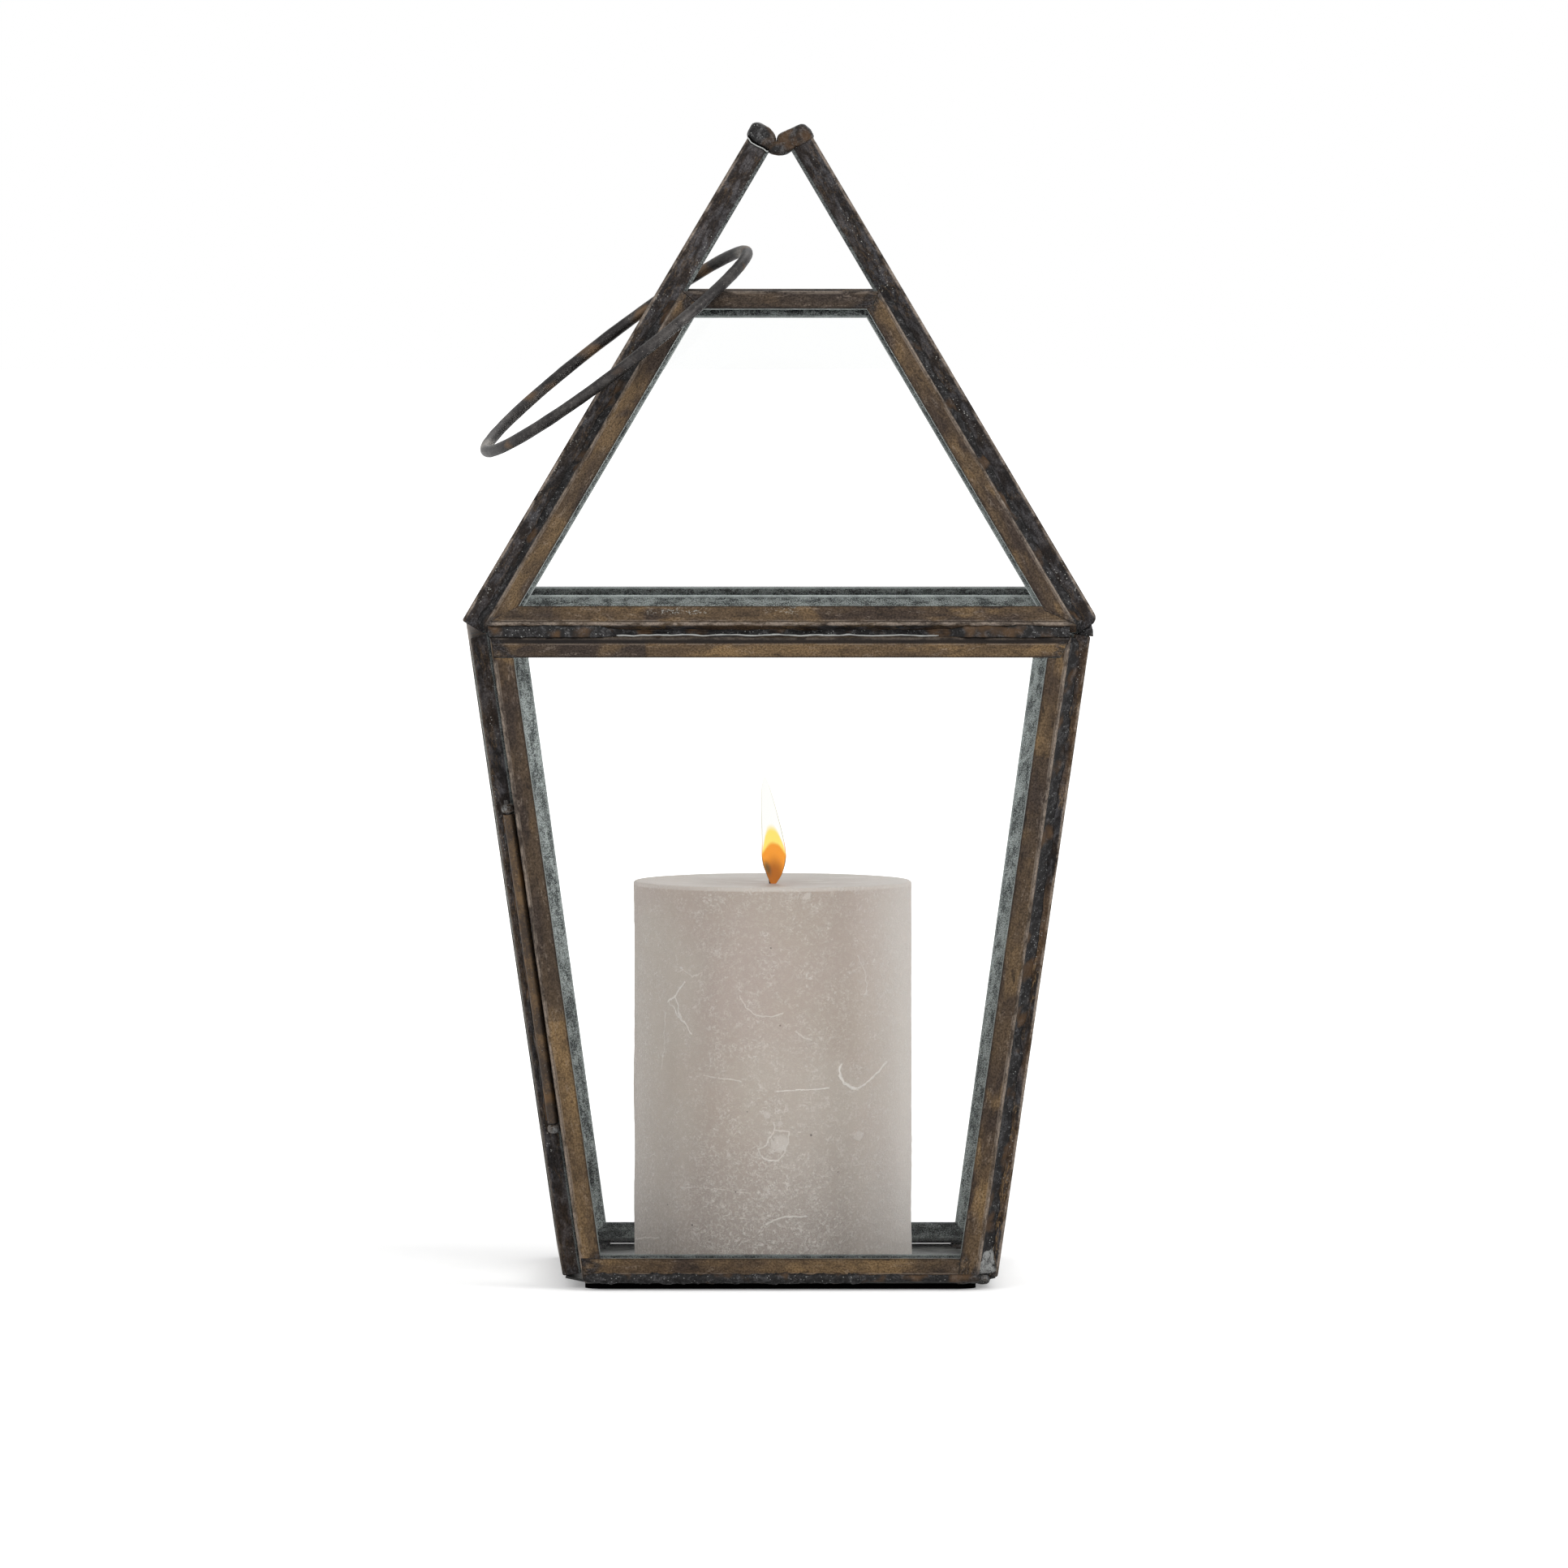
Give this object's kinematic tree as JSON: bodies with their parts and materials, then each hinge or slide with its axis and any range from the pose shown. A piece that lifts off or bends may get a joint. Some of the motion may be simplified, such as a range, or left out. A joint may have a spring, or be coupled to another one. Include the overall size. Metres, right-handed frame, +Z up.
{
  "type": "candle lantern",
  "caption": "Square glass candle lantern in antiqued brass channel, with a hinged side door, a gabled glass roof, a loose carrying ring and a pillar candle.",
  "frame": {"origin": "centre of the black pad's underside, on the surface that the lantern stands on", "axes": "+Z up, front (the face seen square on) at -Y, hinged side at -X"},
  "size_m": [0.1694, 0.1644, 0.31],
  "materials": {
    "brass": "antiqued warm brown, worn lighter on the folds",
    "dark_brass": "antiqued dark gunmetal brown",
    "tin": "mottled dull tin over brass",
    "solder": "rough blackened solder",
    "glass": "clear, slightly wavy",
    "wire": "dark worn wire",
    "pad": "matt black pad",
    "wax": "rustic mottled wax",
    "wick": "charred cotton"
  },
  "bodies": {
    "lantern": {"front_top": "brass", "front_bottom": "brass", "front_left": "brass", "front_right": "brass", "front_glass": "glass", "right_top": "brass", "right_bottom": "brass", "right_front": "brass", "right_back": "brass", "right_glass": "glass", "back_top": "tin", "back_bottom": "tin", "back_left": "tin", "back_right": "tin", "back_glass": "glass", "roof_front_top": "brass", "roof_front_bottom": "brass", "roof_front_left": "brass", "roof_front_right": "brass", "roof_front_glass": "glass", "roof_back_top": "tin", "roof_back_bottom": "tin", "roof_back_left": "tin", "roof_back_right": "tin", "roof_back_glass": "glass", "roof_left_bottom": "dark_brass", "roof_left_front_leg": "dark_brass", "roof_left_back_leg": "dark_brass", "roof_left_glass": "glass", "roof_right_bottom": "dark_brass", "roof_right_front_leg": "dark_brass", "roof_right_back_leg": "dark_brass", "roof_right_glass": "glass", "apex_cap_left": "solder", "apex_cap_right": "solder", "apex_bridge": "solder", "hinge_pin": "wire", "hinge_pin_solder": "solder", "door_stops": "tin", "body_corner_solder": "solder", "roof_corner_solder": "solder", "seam_solder": "solder", "base_solder": "solder", "floor_pan": "tin", "sill_strips": "tin", "base_pad": "pad"},
    "door": {"door_top": "brass", "door_bottom": "brass", "door_hinge_side": "brass", "door_free_side": "brass", "door_glass": "glass", "hinge_tube": "dark_brass", "hinge_tube_solder": "solder"},
    "ring": {"ring_handle": "wire"},
    "candle": {"candle": "wax", "wick": "wick"}
  },
  "joints": [
    {"name": "door_hinge", "type": "hinge", "parent": "lantern", "child": "door", "pos_m": [-0.05438, -0.05438, 0.0034], "axis": [-0.1372, -0.1372, 0.981], "range_deg": [-1.85, 120]},
    {"name": "ring_swing", "type": "hinge", "parent": "lantern", "child": "ring", "pos_m": [-0.007, 0, 0.276], "axis": [0, 1, 0], "range_deg": [0, 230]},
    {"name": "candle_lift", "type": "slide", "parent": "lantern", "child": "candle", "axis": [0, 0, 1], "range_m": [0, 0.13]}
  ]
}
